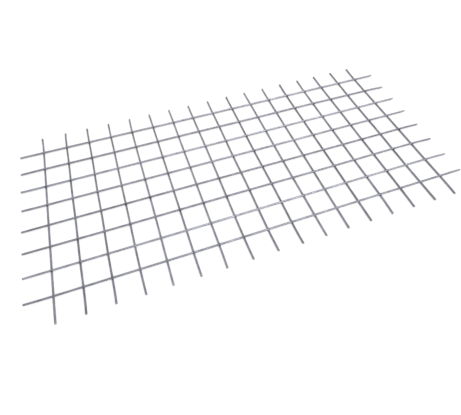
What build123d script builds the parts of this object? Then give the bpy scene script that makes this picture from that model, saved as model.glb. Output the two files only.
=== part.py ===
from build123d import *
import os

os.makedirs("parts", exist_ok=True)

# A card of welded wire mesh: a layer of long wires lies across a layer of cross
# wires, and every crossing is resistance welded. All sizes are in millimetres.
# X runs along the long wires, Y along the cross wires, and Z is up. The origin is
# under the middle of the card, on the surface that the cross wires lie on.

# Driving sizes
card_length = 1000  # length of each long wire
card_width = 500  # length of each cross wire
mesh_pitch = 55.5  # from wire to wire, centre to centre, both ways
wire_diameter = 4
least_free_end = 55  # shortest length of wire left past the outermost crossings
weld_set_in = 0.7  # depth that the welding presses the two wires into each other
section_sides = 8  # flats round a drawn wire, which stand on its round section

# How many wires fit, with the free ends left over on both sides
long_wire_count = int((card_width - 2 * least_free_end) / mesh_pitch) + 1
cross_wire_count = int((card_length - 2 * least_free_end) / mesh_pitch) + 1

# Heights of the two layers' centre lines
cross_wire_height = wire_diameter / 2
long_wire_height = cross_wire_height + wire_diameter - weld_set_in


def wire_row(count, height):
    """Draw the sections of one layer, side by side at the pitch of the mesh."""
    with Locations((0, height)):
        with GridLocations(mesh_pitch, mesh_pitch, count, 1):
            RegularPolygon(
                radius=wire_diameter / 2,
                side_count=section_sides,
                major_radius=False,
                rotation=180 / section_sides,
            )


with BuildPart() as mesh_panel:
    # Cross wires, which lie underneath
    with BuildSketch(Plane.XZ.offset(-card_width / 2)):
        wire_row(cross_wire_count, cross_wire_height)
    extrude(amount=card_width)

    # Long wires, welded down onto them
    with BuildSketch(Plane.YZ.offset(-card_length / 2)):
        wire_row(long_wire_count, long_wire_height)
    extrude(amount=card_length)

mesh_panel.part.label = "mesh_panel"
export_step(mesh_panel.part, "parts/mesh_panel.step")
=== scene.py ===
import math
import random

import bmesh
import bpy
import numpy as np
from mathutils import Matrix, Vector, noise


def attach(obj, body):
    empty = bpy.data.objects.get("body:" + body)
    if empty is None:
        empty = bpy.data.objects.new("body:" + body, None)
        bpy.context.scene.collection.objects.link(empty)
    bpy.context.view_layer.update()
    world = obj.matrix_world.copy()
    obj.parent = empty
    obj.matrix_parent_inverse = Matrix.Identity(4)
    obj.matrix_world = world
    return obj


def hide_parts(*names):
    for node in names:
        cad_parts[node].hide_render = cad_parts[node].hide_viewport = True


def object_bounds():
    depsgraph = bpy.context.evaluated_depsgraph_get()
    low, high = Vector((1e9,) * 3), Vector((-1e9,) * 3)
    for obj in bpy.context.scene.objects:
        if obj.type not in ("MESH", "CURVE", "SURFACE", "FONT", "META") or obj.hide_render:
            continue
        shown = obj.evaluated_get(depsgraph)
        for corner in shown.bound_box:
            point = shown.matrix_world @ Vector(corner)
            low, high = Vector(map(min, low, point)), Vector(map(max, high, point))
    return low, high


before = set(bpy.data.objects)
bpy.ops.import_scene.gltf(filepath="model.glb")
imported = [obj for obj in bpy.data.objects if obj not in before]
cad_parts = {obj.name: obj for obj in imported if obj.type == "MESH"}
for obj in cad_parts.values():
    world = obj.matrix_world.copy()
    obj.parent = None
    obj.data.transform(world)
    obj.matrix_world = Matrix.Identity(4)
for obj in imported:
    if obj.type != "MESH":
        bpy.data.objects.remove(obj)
cad_low, cad_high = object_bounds()

# The wires: 8 long ones lie across 17 cross wires, all of the same round mild steel wire,
# drawn cold through a die, straightened off the coil and cut to length. The cross wires
# lie on the ground, and the tops of the long wires are the top of the card.

MM = 0.001
wire_radius = 2 * MM
pitch = 55.5 * MM  # from wire to wire, both ways
least_free_end = 55 * MM
card_length = cad_high.x - cad_low.x
card_width = cad_high.y - cad_low.y
cross_wire_count = int((card_length - 2 * least_free_end) / pitch) + 1
long_wire_count = int((card_width - 2 * least_free_end) / pitch) + 1
cross_wire_places = [(n - (cross_wire_count - 1) / 2) * pitch for n in range(cross_wire_count)]
long_wire_places = [(n - (long_wire_count - 1) / 2) * pitch for n in range(long_wire_count)]
axis_height = {"cross": cad_low.z + wire_radius, "long": cad_high.z - wire_radius}
weld_height = (axis_height["cross"] + axis_height["long"]) / 2

# A wire has 24 sides, and the quarter that faces the other layer opens into the welds
wire_sides = 24
weld_sides = wire_sides // 4


def round_wire(layer, side):
    """How far a side of a wire lies beside and above the wire's axis."""
    turn = 2 * math.pi * (side - weld_sides / 2) / wire_sides
    towards_weld = 1 if layer == "cross" else -1
    return wire_radius * math.sin(turn), towards_weld * wire_radius * math.cos(turn)


def on_wire(layer, place, beside, above):
    """A point of a wire, by its place along the wire and how far it is off the axis."""
    z = axis_height[layer] + above
    return (place, beside, z) if layer == "long" else (beside, place, z)


def run_of_wire(layer, places):
    """Plain round wire through the given places, as points and faces."""
    points = []
    for place in places:
        for side in range(wire_sides):
            points.append(on_wire(layer, place, *round_wire(layer, side)))
    faces = []
    for band in range(len(places) - 1):
        near = band * wire_sides
        far = near + wire_sides
        for side in range(wire_sides):
            beside = (side + 1) % wire_sides
            faces.append((near + side, near + beside, far + beside, far + side))
    return np.array(points), faces


def linear(hex_colour):
    """An sRGB hex value as the linear colour that a shader takes."""
    channels = [int(hex_colour[n:n + 2], 16) / 255 for n in (1, 3, 5)]
    turned = [c / 12.92 if c <= 0.04045 else ((c + 0.055) / 1.055) ** 2.4 for c in channels]
    return (*turned, 1)


def add(tree, kind, inputs=None, **settings):
    """Add one shader node. Each of its inputs takes a value or another node's output.

    Sockets that share a name go by number. A Mix node has its factor at 0, its vectors at
    4 and 5 with the result at 1, and its colours at 6 and 7 with the result at 2.
    """
    node = tree.nodes.new("ShaderNode" + kind)
    for name, value in settings.items():
        setattr(node, name, value)
    for name, value in (inputs or {}).items():
        if isinstance(value, bpy.types.NodeSocket):
            tree.links.new(value, node.inputs[name])
        else:
            node.inputs[name].default_value = value
    return node


# Cold drawn steel: the die leaves a satin grey skin with fine bright lines along the wire.
# An uneven film of drawing soap takes off some of the shine, and no two coils are quite the
# same grey. Real die lines are about 0.1 mm apart, drawn here at 0.3 mm so that they show.
line_width = 0.3 * MM
line_length = 60 * MM
line_depth = 0.015 * MM
film_patch = 18 * MM

# How much the coil, the film and the lines each add to the shine, and the sums at which the
# steel is as dull and as bright as it gets
coil_weight = 0.25
film_weight = 0.9
line_weight = 1.1
dull_sum = 0.77
bright_sum = 1.47
dull_colour = linear("#5e5f68")
bright_colour = linear("#9c9da8")
dull_roughness = 0.5
bright_roughness = 0.36

steel = bpy.data.materials.new("cold_drawn_steel")
steel.use_nodes = True
tree = steel.node_tree
drawn_skin = tree.nodes["Principled BSDF"]
drawn_skin.inputs["Metallic"].default_value = 0.8
spot = add(tree, "TexCoord").outputs["Object"]

# Each point's place from the nearest crossing. Past the last wires, none is near. The steel
# is far less than one metre high, so the third figures leave its heights alone, and put them
# all in one cell.
one_metre = 1
cell_size = (pitch, pitch, 2 * one_metre)
half_cell = (pitch / 2, pitch / 2, one_metre)
minus_half_cell = (-pitch / 2, -pitch / 2, -one_metre)
reach_x = cross_wire_places[-1] + pitch / 2
reach_y = long_wire_places[-1] + pitch / 2
first_crossing = (cross_wire_places[0], long_wire_places[0], weld_height)
held = add(
    tree, "VectorMath", {0: spot, 1: (reach_x, reach_y, one_metre)}, operation="MINIMUM"
).outputs[0]
held = add(
    tree, "VectorMath", {0: held, 1: (-reach_x, -reach_y, -one_metre)}, operation="MAXIMUM"
).outputs[0]
held = add(tree, "VectorMath", {0: held, 1: first_crossing}, operation="SUBTRACT").outputs[0]
from_weld = add(
    tree, "VectorMath", {0: held, 1: half_cell, 2: minus_half_cell}, operation="WRAP"
).outputs[0]

# Which layer each point is on, by which wire's axis is nearer
off_axis = {}
for layer, sideways in (("cross", (1, 0, 1)), ("long", (0, 1, 1))):
    towards_axis = (0, 0, weld_height - axis_height[layer])
    off_axis[layer] = add(
        tree, "VectorMath", {0: from_weld, 1: sideways, 2: towards_axis}, operation="MULTIPLY_ADD"
    ).outputs[0]
    off_axis[layer] = add(
        tree, "VectorMath", {0: off_axis[layer]}, operation="LENGTH"
    ).outputs["Value"]
on_long = add(
    tree, "Math", {0: off_axis["long"], 1: off_axis["cross"]}, operation="LESS_THAN"
).outputs[0]

# A grey for each wire
cell = add(tree, "VectorMath", {0: held, 1: half_cell}, operation="ADD").outputs[0]
cell = add(tree, "VectorMath", {0: cell, 1: cell_size}, operation="SNAP").outputs[0]
own_way = add(
    tree, "Mix", {0: on_long, 4: (1, 0, 0), 5: (0, 1, 0)}, data_type="VECTOR"
).outputs[1]
wire_key = add(
    tree, "VectorMath", {0: cell, 1: own_way, 2: own_way}, operation="MULTIPLY_ADD"
).outputs[0]
coil_grey = add(tree, "TexWhiteNoise", {"Vector": wire_key}).outputs["Value"]

# Die lines along the wire, and patches of soap film
across_lines = 1 / line_width
along_lines = 1 / line_length
cross_scale = (across_lines, along_lines, across_lines)
long_scale = (along_lines, across_lines, across_lines)
line_scale = add(
    tree, "Mix", {0: on_long, 4: cross_scale, 5: long_scale}, data_type="VECTOR"
).outputs[1]
line_place = add(tree, "VectorMath", {0: spot, 1: line_scale}, operation="MULTIPLY").outputs[0]
die_lines = add(
    tree, "TexNoise", {"Vector": line_place, "Scale": 1, "Detail": 3, "Roughness": 0.6}
).outputs[0]
soap_film = add(
    tree, "TexNoise", {"Vector": spot, "Scale": 1 / film_patch, "Detail": 4, "Roughness": 0.6}
).outputs[0]
shine = add(tree, "Math", {0: coil_grey, 1: coil_weight}, operation="MULTIPLY").outputs[0]
for cause, weight in ((soap_film, film_weight), (die_lines, line_weight)):
    shine = add(
        tree, "Math", {0: cause, 1: weight, 2: shine}, operation="MULTIPLY_ADD"
    ).outputs[0]
shine = add(
    tree, "MapRange", {"Value": shine, "From Min": dull_sum, "From Max": bright_sum}
).outputs[0]
colour = add(
    tree, "Mix", {0: shine, 6: dull_colour, 7: bright_colour}, data_type="RGBA"
).outputs[2]
roughness = add(
    tree, "MapRange", {"Value": shine, "To Min": dull_roughness, "To Max": bright_roughness}
).outputs[0]
relief = add(tree, "Bump", {"Height": die_lines, "Strength": 0.4, "Distance": line_depth})
tree.links.new(colour, drawn_skin.inputs["Base Color"])
tree.links.new(roughness, drawn_skin.inputs["Roughness"])
tree.links.new(relief.outputs[0], drawn_skin.inputs["Normal"])

# The welds: electrodes pressed the layers together at every crossing while current ran
# through, so the wires sank a little into each other. Metal squeezed out of the joint
# left an uneven swelling round it, and the electrodes left a flat above and below.

weld_neck = 2.1 * MM  # half the width of the joint between the two wires
weld_blend = 0.8 * MM  # how softly one wire's skin runs into the other's
tile_stops = [6 * MM, 4.4 * MM, 3.2 * MM]  # rings of facets, by how far off the joint
tile_reach = tile_stops[0]
swell_height = 0.5 * MM
swell_end = 4 * MM  # how far from the middle of the joint the swelling runs out
swell_fade = 3.2 * MM
lump_size = 1.3 * MM
lump_mean = 0.4
press_reach = 2.9 * MM
press_depth = 0.18 * MM


def outside_weld(points):
    """How far points lie outside two crossing wires that blend into each other, and which
    way is out."""
    cross_way = points * (1, 0, 1) - (0, 0, axis_height["cross"])
    long_way = points * (0, 1, 1) - (0, 0, axis_height["long"])
    not_zero = 1e-9
    cross_length = np.maximum(np.linalg.norm(cross_way, axis=1), not_zero)
    long_length = np.maximum(np.linalg.norm(long_way, axis=1), not_zero)
    cross_gap = cross_length - wire_radius
    long_gap = long_length - wire_radius
    share = np.clip(0.5 + 0.5 * (long_gap - cross_gap) / weld_blend, 0, 1)
    gap = share * cross_gap + (1 - share) * long_gap - weld_blend * share * (1 - share)
    out = (share / cross_length)[:, None] * cross_way
    out += ((1 - share) / long_length)[:, None] * long_way
    return gap, out


def settle_on_weld(points):
    """Move points onto the skin of a crossing, in a few steps that close in on it."""
    steps = 6
    least_slope = 0.05
    for _ in range(steps):
        gap, out = outside_weld(points)
        slope = np.maximum((out ** 2).sum(axis=1), least_slope)
        points = points - (gap / slope)[:, None] * out
    return points


def weld_rim(step_x, step_y):
    """Where a point on the edge of the weld's square of facets starts, on a circle."""
    x = 2 * step_x / weld_sides - 1
    y = 2 * step_y / weld_sides - 1
    return (
        x * math.sqrt(1 - y * y / 2) * weld_neck,
        y * math.sqrt(1 - x * x / 2) * weld_neck,
        weld_height,
    )


def crossing_tile():
    """One crossing out to where both wires are plain again, as points and faces."""
    beside_weld = [(2 * n / weld_sides - 1) * weld_neck for n in range(weld_sides + 1)]
    stations = [-stop for stop in tile_stops] + beside_weld + tile_stops[::-1]
    first = len(tile_stops)
    points = []
    numbers = {}

    def number_of(layer, station, side):
        """The number of a point. On the weld's rim, both layers share their points."""
        side = side % wire_sides
        step = station - first
        if 0 <= step <= weld_sides and side <= weld_sides:
            rim_step = (side, step) if layer == "cross" else (step, side)
            key = ("weld",) + rim_step
            place = weld_rim(*rim_step)
        else:
            key = (layer, station, side)
            place = on_wire(layer, stations[station], *round_wire(layer, side))
        if key not in numbers:
            numbers[key] = len(points)
            points.append(place)
        return numbers[key]

    faces = []
    for layer in ("cross", "long"):
        for station in range(len(stations) - 1):
            for side in range(wire_sides):
                if 0 <= station - first < weld_sides and side < weld_sides:
                    continue
                faces.append(
                    (
                        number_of(layer, station, side),
                        number_of(layer, station, side + 1),
                        number_of(layer, station + 1, side + 1),
                        number_of(layer, station + 1, side),
                    )
                )
    points = np.array(points)

    # Even the facets out over the skin, and hold the plain ends
    rounds = 12
    plain_end = np.isclose(np.abs(points[:, :2]).max(axis=1), tile_reach)[:, None]
    around = [set() for _ in points]
    for face in faces:
        for corner, following in zip(face, face[1:] + face[:1]):
            around[corner].add(following)
            around[following].add(corner)
    points = np.where(plain_end, points, settle_on_weld(points))
    for _ in range(rounds):
        middles = np.array([points[list(near)].mean(axis=0) for near in around])
        points = np.where(plain_end, points, settle_on_weld((points + middles) / 2))
    return points, faces


def off_nearest(places, values):
    """How far values are off the nearest wire of a layer."""
    number = np.clip(np.round((values - places[0]) / pitch), 0, len(places) - 1)
    return values - (places[0] + number * pitch)


def swell_and_press(points, normals):
    """Raise the swelling round each weld, and press the flats of the electrodes on top of
    the long wires and under the cross wires."""
    off_cross = off_nearest(cross_wire_places, points[:, 0])
    off_long = off_nearest(long_wire_places, points[:, 1])
    off_joint = np.sqrt(off_cross ** 2 + off_long ** 2 + (points[:, 2] - weld_height) ** 2)
    swelling = swell_height * np.clip((swell_end - off_joint) / swell_fade, 0, 1)
    for number in np.nonzero(swelling > 0)[0]:
        lump = lump_mean + noise.noise(Vector(points[number]) / lump_size)
        points[number] += normals[number] * swelling[number] * lump
    pressed = 1 - (off_cross ** 2 + off_long ** 2) / press_reach ** 2
    pressed = press_depth * np.clip(pressed, 0, 1)
    points[:, 2] = np.clip(points[:, 2], cad_low.z + pressed, cad_high.z - pressed)


# Steel heated by the weld current, with painted shade in the crook of each joint: no colour is
# left on it but a darker, bluish grey and a rougher skin. The grey is darkest in the crook of the
# joint, where it is partly painted shade between the two wires, hardly shows on top of the long
# wire, and fades out ragged within about 6 mm. No two welds took quite the same heat. Its grit is
# really about 0.1 mm across, and is drawn here at 0.8 mm and finer so that it shows.
heat_and_shade_core = 3.5 * MM
heat_and_shade_reach = 7.1 * MM
heat_and_shade_share = 0.9
ragged_size = 2.5 * MM
ragged_depth = 3 * MM
coolest_loss = 2 * MM  # how much less far the heat went at the coolest weld
heat_and_shade_colour = linear("#3a3c43")
added_roughness = 0.16
grit_size = 0.8 * MM
grit_height = 24  # times the height of the die lines

tree = steel.node_tree
off_weld = add(tree, "VectorMath", {0: from_weld}, operation="LENGTH").outputs["Value"]
ragged = add(tree, "TexNoise", {"Vector": spot, "Scale": 1 / ragged_size, "Detail": 3}).outputs[0]
cooler = add(tree, "TexWhiteNoise", {"Vector": cell}).outputs["Value"]
for cause, distance in ((ragged, ragged_depth), (cooler, coolest_loss)):
    off_weld = add(
        tree, "Math", {0: cause, 1: distance, 2: off_weld}, operation="MULTIPLY_ADD"
    ).outputs[0]
heat_and_shade = add(
    tree,
    "MapRange",
    {
        "Value": off_weld,
        "From Min": heat_and_shade_core,
        "From Max": heat_and_shade_reach,
        "To Min": heat_and_shade_share,
        "To Max": 0,
    },
    interpolation_type="SMOOTHSTEP",
).outputs[0]
# The darker grey is partly heat tint and partly painted shade, darkest in the crook where the two
# wires meet.
colour = add(tree, "Mix", {0: heat_and_shade, 6: colour, 7: heat_and_shade_colour}, data_type="RGBA").outputs[2]
roughness = add(
    tree, "Math", {0: heat_and_shade, 1: added_roughness, 2: roughness}, operation="MULTIPLY_ADD"
).outputs[0]
grit = add(tree, "TexNoise", {"Vector": spot, "Scale": 1 / grit_size, "Detail": 3}).outputs[0]
grit = add(tree, "Math", {0: grit, 1: heat_and_shade}, operation="MULTIPLY").outputs[0]
grit = add(
    tree, "Math", {0: grit, 1: grit_height, 2: die_lines}, operation="MULTIPLY_ADD"
).outputs[0]
tree.links.new(colour, drawn_skin.inputs["Base Color"])
tree.links.new(roughness, drawn_skin.inputs["Roughness"])
tree.links.new(grit, relief.inputs["Height"])

# The free ends: shears cropped the wires from above, which rolled the top edge of each
# cut over and tilted the cut a little. No two wires are cut alike, and none reaches quite
# to the end of the card.

cut_shortening = 1.2 * MM  # the most that a wire is cut short
cut_clearance = 1 * MM  # room for the wandering of the wires within the card's length
least_tilt, most_tilt = 0.175 * MM, 0.455 * MM
least_roll, most_roll = 0.21 * MM, 0.49 * MM
cut_crown = 0.08 * MM
cut_ring = 0.8  # the ring inside a cut's rim, as a share of the rim
end_stops = [1.6 * MM, 0.5 * MM, 0]  # the last rings of facets, from the tip
end_rings = 4  # rings of facets from the weld to the first of those
dice = random.Random(17)  # a fixed start, so that each run gives the same card


def free_end(layer, last_weld, tip):
    """The wire from its last weld to its cut, as points and faces, and the cut face."""
    outward = 1 if tip > last_weld else -1
    start = last_weld + outward * tile_reach
    tip -= outward * (dice.uniform(0, cut_shortening) + cut_clearance)
    stops = [tip - outward * stop for stop in end_stops]
    places = list(np.linspace(start, stops[0], end_rings)) + stops[1:]
    points, faces = run_of_wire(layer, places)
    way = 0 if layer == "long" else 1
    above = (points[:, 2] - axis_height[layer]) / wire_radius
    tilt = dice.uniform(least_tilt, most_tilt)
    roll = dice.uniform(least_roll, most_roll)
    first_rim = len(points) - wire_sides
    rim = slice(first_rim, len(points))
    points[rim, way] -= outward * (above[rim] + 1) / 2 * tilt
    points[rim, 2] -= np.clip(above[rim], 0, 1) ** 2 * roll

    # The cut face: its rim, a ring inside the rim and a middle point
    middle = points[rim].mean(axis=0)
    ring = middle + (points[rim] - middle) * cut_ring
    ring[:, way] += outward * cut_crown / 2
    first_ring = len(points)
    points = np.vstack([points, ring, middle[None]])
    points[-1, way] += outward * cut_crown
    last = len(points) - 1
    cut_faces = []
    for side in range(wire_sides):
        beside = (side + 1) % wire_sides
        cut_faces.append(
            (first_rim + side, first_rim + beside, first_ring + beside, first_ring + side)
        )
        cut_faces.append((first_ring + side, first_ring + beside, last))
    if outward < 0:
        faces = [face[::-1] for face in faces]
        cut_faces = [face[::-1] for face in cut_faces]
    return points, faces, cut_faces


# Sheared steel: the blade burnished the upper part of each cut bright, and below that the
# wire broke off grey and grainy. The real grain is finer, and is drawn at 0.25 mm so that it
# shows.
grain_size = 0.25 * MM
grain_depth = 0.08 * MM
burnish_start = 0.5 * MM  # above the wire's axis, less what the ragged edge takes off
burnish_blend = 0.3 * MM
burnish_ragged = 0.8 * MM
broken_dark = linear("#2e2f34")
broken_light = linear("#9b9ca3")
burnished_colour = linear("#b4b5ba")
broken_roughness = 0.6
burnished_roughness = 0.28

cut_steel = bpy.data.materials.new("sheared_steel")
cut_steel.use_nodes = True
tree = cut_steel.node_tree
cut_skin = tree.nodes["Principled BSDF"]
cut_skin.inputs["Metallic"].default_value = 0.9
spot = add(tree, "TexCoord").outputs["Object"]
grain = add(tree, "TexNoise", {"Vector": spot, "Scale": 1 / grain_size, "Detail": 2}).outputs[0]

# The height of each point as if it were on a cross wire. The cuts that face along X are on
# the long wires, which lie a layer higher.
facing = add(tree, "NewGeometry").outputs["True Normal"]
facing = add(tree, "VectorMath", {0: facing}, operation="ABSOLUTE").outputs[0]
facing = add(tree, "SeparateXYZ", {0: facing}).outputs["X"]
layer_step = axis_height["cross"] - axis_height["long"]
height = add(tree, "SeparateXYZ", {0: spot}).outputs["Z"]
for cause, rise in ((facing, layer_step), (grain, burnish_ragged)):
    height = add(
        tree, "Math", {0: cause, 1: rise, 2: height}, operation="MULTIPLY_ADD"
    ).outputs[0]
burnish_height = axis_height["cross"] + burnish_start
burnished = add(
    tree,
    "MapRange",
    {"Value": height, "From Min": burnish_height, "From Max": burnish_height + burnish_blend},
).outputs[0]
broken = add(tree, "Mix", {0: grain, 6: broken_dark, 7: broken_light}, data_type="RGBA").outputs[2]
cut_colour = add(
    tree, "Mix", {0: burnished, 6: broken, 7: burnished_colour}, data_type="RGBA"
).outputs[2]
cut_roughness = add(
    tree,
    "MapRange",
    {"Value": burnished, "To Min": broken_roughness, "To Max": burnished_roughness},
).outputs[0]
cut_relief = add(tree, "Bump", {"Height": grain, "Strength": 0.6, "Distance": grain_depth})
tree.links.new(cut_colour, cut_skin.inputs["Base Color"])
tree.links.new(cut_roughness, cut_skin.inputs["Roughness"])
tree.links.new(cut_relief.outputs[0], cut_skin.inputs["Normal"])

# The card: the crossings, runs and free ends are joined into one unbroken skin, as the
# welds join the wires into one piece of steel. No card is quite true: its wires wander a
# little from their places, and handling has bent the free ends slightly.

wander = 0.45 * MM
shortest_wave, longest_wave = 0.7, 1.6  # in halves of the card's length or width
tip_bend = 0.9 * MM
tip_lift = 0.8 * MM
run_bands = 3  # bands of facets between two welds
seam = 0.002 * MM  # points this near each other are one

all_points = []
all_faces = []
all_finishes = []


def add_part(points, faces, cut_faces=(), shift=(0, 0, 0)):
    """Add a part of the skin, with its plain faces and the faces of its cuts."""
    offset = len(all_points)
    all_points.extend((points + np.array(shift)).tolist())
    for finish, some_faces in enumerate((faces, cut_faces)):
        for face in some_faces:
            all_faces.append([corner + offset for corner in face])
            all_finishes.append(finish)


tile_points, tile_faces = crossing_tile()
for x in cross_wire_places:
    for y in long_wire_places:
        add_part(tile_points, tile_faces, shift=(x, y, 0))

for layer, places, others, tip in (
    ("long", cross_wire_places, long_wire_places, card_length / 2),
    ("cross", long_wire_places, cross_wire_places, card_width / 2),
):
    for other in others:
        shift = (0, other, 0) if layer == "long" else (other, 0, 0)
        for near, far in zip(places, places[1:]):
            span = np.linspace(near + tile_reach, far - tile_reach, run_bands + 1)
            add_part(*run_of_wire(layer, span), shift=shift)
        add_part(*free_end(layer, places[0], -tip), shift=shift)
        add_part(*free_end(layer, places[-1], tip), shift=shift)

card = bpy.data.meshes.new("mesh_wires")
card.from_pydata(all_points, [], all_faces)
card.polygons.foreach_set("material_index", all_finishes)
joined = bmesh.new()
joined.from_mesh(card)
bmesh.ops.remove_doubles(joined, verts=joined.verts, dist=seam)
for face in joined.faces:
    face.smooth = True
for edge in joined.edges:
    finishes = {face.material_index for face in edge.link_faces}
    edge.smooth = len(finishes) == 1
joined.to_mesh(card)
joined.free()

# The skin is also laid out flat, on a layout of its own, so that pictures of the finish baked
# through it can hold the fine lines along the wires. Each wire is unrolled into a strip, with
# its cuts as discs at the ends, and a row holds one long wire or two cross wires.
flat_rows = long_wire_count + math.ceil(cross_wire_count / 2)
strip_share = 0.9  # of a row's height, which leaves the strips a little apart
disc_room = 0.024  # at each end of a strip, where the whole layout is 1 wide


def laid_flat(mesh):
    """Where each corner of each face of the skin lies on the flat layout."""
    points = np.zeros(len(mesh.vertices) * 3)
    centres = np.zeros(len(mesh.polygons) * 3)
    corner_points = np.zeros(len(mesh.loops), dtype=np.int32)
    corner_counts = np.zeros(len(mesh.polygons), dtype=np.int32)
    finishes = np.zeros(len(mesh.polygons), dtype=np.int32)
    mesh.vertices.foreach_get("co", points)
    mesh.polygons.foreach_get("center", centres)
    mesh.loops.foreach_get("vertex_index", corner_points)
    mesh.polygons.foreach_get("loop_total", corner_counts)
    mesh.polygons.foreach_get("material_index", finishes)
    corner = points.reshape(-1, 3)[corner_points]
    centre = np.repeat(centres.reshape(-1, 3), corner_counts, axis=0)
    is_cut = np.repeat(finishes, corner_counts)[:, None] == 1

    full_turn = 2 * math.pi
    disc_scale = strip_share / flat_rows / (full_turn * wire_radius)
    off_axis = {}
    places_flat = {}
    for layer, across, along, places, half_length in (
        ("cross", 0, 1, cross_wire_places, card_width / 2),
        ("long", 1, 0, long_wire_places, card_length / 2),
    ):
        centre_beside = off_nearest(places, centre[:, across])
        centre_above = centre[:, 2] - axis_height[layer]
        place = centre[:, across] - centre_beside
        beside = corner[:, across] - place
        above = corner[:, 2] - axis_height[layer]
        number = np.round((place - places[0]) / pitch)
        if layer == "long":
            row, middle, half_room = number, 0.5, 0.5
        else:
            row, middle, half_room = long_wire_count + number // 2, 0.25 + number % 2 / 2, 0.25
        row_middle = (row + 0.5) / flat_rows

        # The strip, cut open under the wire. No face is torn in two there.
        centre_turn = np.arctan2(centre_beside, centre_above)
        turn = np.arctan2(beside, above) - centre_turn
        turn = centre_turn + (turn + math.pi) % full_turn - math.pi
        strip_x = middle + corner[:, along] / half_length * (half_room - disc_room)
        strip_y = row_middle + turn / full_turn * strip_share / flat_rows

        disc_middle = middle + np.sign(centre[:, along]) * (half_room - disc_room / 2)
        disc_x = disc_middle + beside * disc_scale
        disc_y = row_middle + above * disc_scale
        strip = np.stack([strip_x, strip_y], axis=1)
        disc = np.stack([disc_x, disc_y], axis=1)
        places_flat[layer] = np.where(is_cut, disc, strip)
        off_axis[layer] = np.hypot(centre_beside, centre_above)[:, None]
    on_cross = off_axis["cross"] <= off_axis["long"]
    return np.where(on_cross, places_flat["cross"], places_flat["long"])


flat_layout = card.uv_layers.new(name="OFBake")
flat_layout.uv.foreach_set("vector", laid_flat(card).ravel())

points = np.zeros(len(card.vertices) * 3)
normals = np.zeros(len(card.vertices) * 3)
card.vertices.foreach_get("co", points)
card.vertex_normals.foreach_get("vector", normals)
points = points.reshape(-1, 3)
normals = normals.reshape(-1, 3)
swell_and_press(points, normals)


def from_wire_to_wire(wires, places, across):
    """Values along each wire of a layer, blended smoothly from each wire to the next."""
    number = np.clip((across - places[0]) / pitch, 0, len(places) - 1)
    lower = np.minimum(number.astype(int), len(places) - 2)
    part = number - lower
    part = part * part * (3 - 2 * part)
    point = np.arange(len(across))
    return wires[lower, point] * (1 - part) + wires[lower + 1, point] * part


def wandering(places, last_weld, across, along, half_length):
    """How far a layer's wires lie to one side, and how far their tips are bent up or down."""
    past = np.clip((np.abs(along) - last_weld) / (half_length - last_weld), 0, 1) ** 2
    aside = []
    lift = []
    for _ in places:
        still = dice.uniform(-wander, wander)
        sway = dice.uniform(0, wander)
        wave = dice.uniform(shortest_wave, longest_wave) * half_length
        start = dice.uniform(0, 2 * math.pi)
        bends = dice.gauss(0, tip_bend), dice.gauss(0, tip_bend)
        lifts = dice.uniform(0, tip_lift), dice.uniform(0, tip_lift)
        bend = np.where(along > 0, *bends) * past
        aside.append(still + sway * np.sin(2 * math.pi * along / wave + start) + bend)
        lift.append(np.where(along > 0, *lifts) * past)
    return (
        from_wire_to_wire(np.array(aside), places, across),
        from_wire_to_wire(np.array(lift), places, across),
    )


# The wires' wandering, and the slight bends of the free ends. The long wires' ends are bent
# down and the cross wires' ends up, so that all stay between the floor and the card's top.
x, y = points[:, 0].copy(), points[:, 1].copy()
last_x, last_y = cross_wire_places[-1], long_wire_places[-1]
cross_aside, cross_lift = wandering(cross_wire_places, last_y, x, y, card_width / 2)
long_aside, long_lift = wandering(long_wire_places, last_x, y, x, card_length / 2)
points[:, 0] += cross_aside
points[:, 1] += long_aside
points[:, 2] += cross_lift - long_lift
points = np.clip(points, tuple(cad_low), tuple(cad_high))
card.vertices.foreach_set("co", points.ravel())
card.update()

card.materials.append(steel)
card.materials.append(cut_steel)
mesh_wires = bpy.data.objects.new("mesh_wires", card)
bpy.context.scene.collection.objects.link(mesh_wires)
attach(mesh_wires, "root")
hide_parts("mesh_panel")

# The floor: matt white paper, larger than any view of the card. It shows the card's shadow,
# and part of its white comes from a glow that only the camera and reflections see. Very
# faint clouds about 50 mm wide are all that the eye could find on it.

floor_reach = 6  # metres from the middle to each edge
paper_glow = 0.25
cloud_size = 48 * MM
paper_dark = linear("#e6e6e6")
paper_light = linear("#e9e9e9")
floor_mesh = bpy.data.meshes.new("floor")
floor_mesh.from_pydata(
    [
        (-floor_reach, -floor_reach, cad_low.z),
        (floor_reach, -floor_reach, cad_low.z),
        (floor_reach, floor_reach, cad_low.z),
        (-floor_reach, floor_reach, cad_low.z),
    ],
    [],
    [(0, 1, 2, 3)],
)
floor = bpy.data.objects.new("floor", floor_mesh)
bpy.context.scene.collection.objects.link(floor)


def looked_at(tree):
    """1 for the rays of the camera, reflections and glass, and 0 for those of plain light."""
    rays = add(tree, "LightPath").outputs
    seen = rays["Is Camera Ray"]
    for kind in ("Is Glossy Ray", "Is Transmission Ray"):
        both = {0: seen, 1: rays[kind]}
        seen = add(tree, "Math", both, operation="ADD", use_clamp=True).outputs[0]
    return seen


paper = bpy.data.materials.new("white_paper")
paper.use_nodes = True
tree = paper.node_tree
tree.nodes.remove(tree.nodes["Principled BSDF"])
glow = add(tree, "Math", {0: looked_at(tree), 1: paper_glow}, operation="MULTIPLY").outputs[0]
glow = add(tree, "Emission", {"Color": (1, 1, 1, 1), "Strength": glow}).outputs[0]

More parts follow.
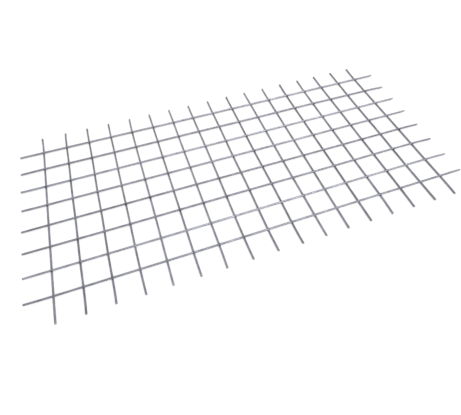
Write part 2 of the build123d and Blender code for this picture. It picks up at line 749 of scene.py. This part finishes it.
# How many clouds fit across the floor, over which the texture runs from 0 to 1
across_floor = 2 * floor_reach / cloud_size
clouds = add(tree, "TexNoise", {"Scale": across_floor, "Detail": 3}).outputs[0]
clouds = add(tree, "Mix", {0: clouds, 6: paper_dark, 7: paper_light}, data_type="RGBA").outputs[2]
matt = add(tree, "BsdfDiffuse", {"Color": clouds}).outputs[0]
white = add(tree, "AddShader", {0: matt, 1: glow}).outputs[0]
tree.links.new(white, tree.nodes["Material Output"].inputs["Surface"])
floor_mesh.materials.append(paper)

# The light: a large soft window lamp, high up in front and to the right, and an even white
# room round it. Together they light the card at a plain level. To the camera the room is as
# white as the floor, so that no horizon shows.

room_light = 0.4
room_white = 1.05  # 1 is white, and the floor is as much over it
world = bpy.data.worlds.new("studio")
bpy.context.scene.world = world
world.use_nodes = True
tree = world.node_tree
strength = add(
    tree,
    "Math",
    {0: looked_at(tree), 1: room_white - room_light, 2: room_light},
    operation="MULTIPLY_ADD",
).outputs[0]
tree.nodes["Background"].inputs["Color"].default_value = (1, 1, 1, 1)
tree.links.new(strength, tree.nodes["Background"].inputs["Strength"])

lamp = bpy.data.lights.new("window_light", "SUN")
lamp.energy = 2.2
lamp.angle = math.radians(35)
window_light = bpy.data.objects.new("window_light", lamp)
bpy.context.scene.collection.objects.link(window_light)
towards_light = Vector((0.3, -0.4, 0.85))
window_light.rotation_mode = "QUATERNION"
window_light.rotation_quaternion = towards_light.to_track_quat("Z", "Y")

# The camera: it stands in front of the card and left of its middle, and looks down on it.
# Its place, aim and lens were solved from where the card lies in the photograph.

camera_data = bpy.data.cameras.new("camera")
camera_data.sensor_width = 36
camera_data.lens = 26.7
camera_data.clip_start = 0.001
camera = bpy.data.objects.new("camera", camera_data)
bpy.context.scene.collection.objects.link(camera)
camera.location = (-0.1992, -0.5142, 0.6388)
aim = Vector((-0.0586, -0.1150, 0.0053))
camera.rotation_mode = "QUATERNION"
camera.rotation_quaternion = (aim - camera.location).to_track_quat("-Z", "Y")
bpy.context.scene.camera = camera
bpy.context.scene.view_settings.view_transform = "Standard"
